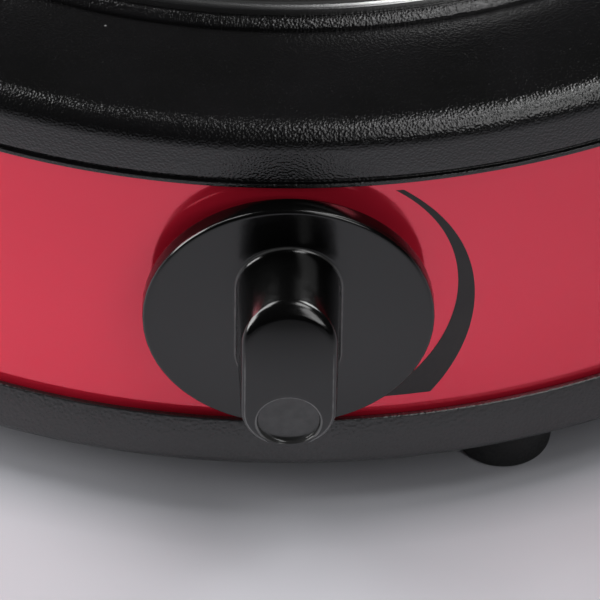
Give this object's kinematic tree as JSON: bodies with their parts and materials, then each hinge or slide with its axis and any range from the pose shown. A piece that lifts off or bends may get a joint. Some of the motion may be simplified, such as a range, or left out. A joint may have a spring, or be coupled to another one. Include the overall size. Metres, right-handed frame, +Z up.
{
  "type": "single-burner electric hot plate",
  "caption": "Round table-top electric hot plate: cast heating plate on a black pressed cover, glossy red side band, black base on rubber feet, rotary thermostat knob.",
  "frame": {"origin": "on the axis of the round body, on the surface the feet stand on", "axes": "+Z up along the body's axis, out of the cooking surface; the knob points along -Y and the cord gland along +Y"},
  "size_m": [0.1996, 0.225, 0.0695],
  "materials": {
    "black_powder": "black powder coat with an orange-peel grain",
    "black_base": "black powder coat, finer grain",
    "red_lacquer": "high-gloss red lacquer over bright metal",
    "stainless": "turned stainless steel",
    "cast_iron": "black heat-proof coating over turned cast iron",
    "plated_steel": "zinc plated",
    "galvanised": "galvanised sheet",
    "element": "wound resistance coil",
    "cement": "magnesia cement",
    "ceramic": "glazed steatite",
    "rubber": "matte",
    "black_knob": "polished black phenolic",
    "black_nylon": "moulded",
    "brass": "bare",
    "spring_bronze": "rolled strip",
    "bimetal": "rolled strip",
    "silicone_brown": "sleeved wire",
    "glass_sleeve": "braided glass sleeve",
    "silicone_blue": "sleeved wire",
    "silicone_green": "sleeved wire"
  },
  "bodies": {
    "root": {"top_cover": "black_powder", "side_band": "red_lacquer", "base_pan": "black_base", "trim_ring": "stainless", "heating_plate": "cast_iron", "coil_outer": "element", "coil_inner": "element", "coil_cement": "cement", "element_cover": "galvanised", "element_pins": "plated_steel", "pin_bushes": "ceramic", "plate_stud": "plated_steel", "clamp_bar": "galvanised", "stud_washer": "plated_steel", "stud_nut": "plated_steel", "heat_shield": "galvanised", "cover_posts": "plated_steel", "tie_spacers": "plated_steel", "tie_bolts": "plated_steel", "foot_front_right": "rubber", "foot_rear_right": "rubber", "foot_rear_left": "rubber", "foot_front_left": "rubber", "foot_screws": "plated_steel", "foot_nuts": "plated_steel", "spindle_bush": "brass", "thermostat_bracket": "galvanised", "bracket_spacers": "plated_steel", "bracket_screws": "plated_steel", "bracket_nuts": "plated_steel", "thermostat_block": "ceramic", "blade_terminal": "spring_bronze", "fixed_blade": "spring_bronze", "bimetal_strip": "bimetal", "stack_spacers": "ceramic", "stack_rivet": "plated_steel", "gland_body": "black_nylon", "gland_cap": "black_nylon", "gland_locknut": "black_nylon", "terminal_block": "ceramic", "terminal_screws": "brass", "lead_live": "silicone_brown", "lead_switched": "glass_sleeve", "lead_neutral": "silicone_blue", "thermal_fuse": "ceramic", "lead_fuse": "glass_sleeve", "lead_earth": "silicone_green", "earth_screw": "brass"},
    "knob_body": {"knob": "black_knob", "knob_clip": "plated_steel", "spindle": "plated_steel", "spindle_circlip": "plated_steel"},
    "push_pin_body": {"push_pin": "ceramic"},
    "blade_body": {"contact_blade": "spring_bronze"}
  },
  "joints": [
    {"name": "knob_turn", "type": "hinge", "parent": "root", "child": "knob_body", "pos_m": [0, -0.105, 0.0336], "axis": [0, 1, 0], "range_deg": [0, 300]},
    {"name": "push_pin_slide", "type": "slide", "parent": "root", "child": "push_pin_body", "axis": [0, 1, 0], "range_m": [0, 0.00083343]},
    {"name": "contact_blade_bend", "type": "hinge", "parent": "root", "child": "blade_body", "pos_m": [0.012, -0.08261, 0.0336], "axis": [0, 0, -1], "range_deg": [0, 4]}
  ],
  "couplings": [
    {"joint": "push_pin_slide", "follows": "knob_turn", "m_per_rad": 0.00015915},
    {"joint": "contact_blade_bend", "follows": "knob_turn", "ratio": 0.013263}
  ]
}
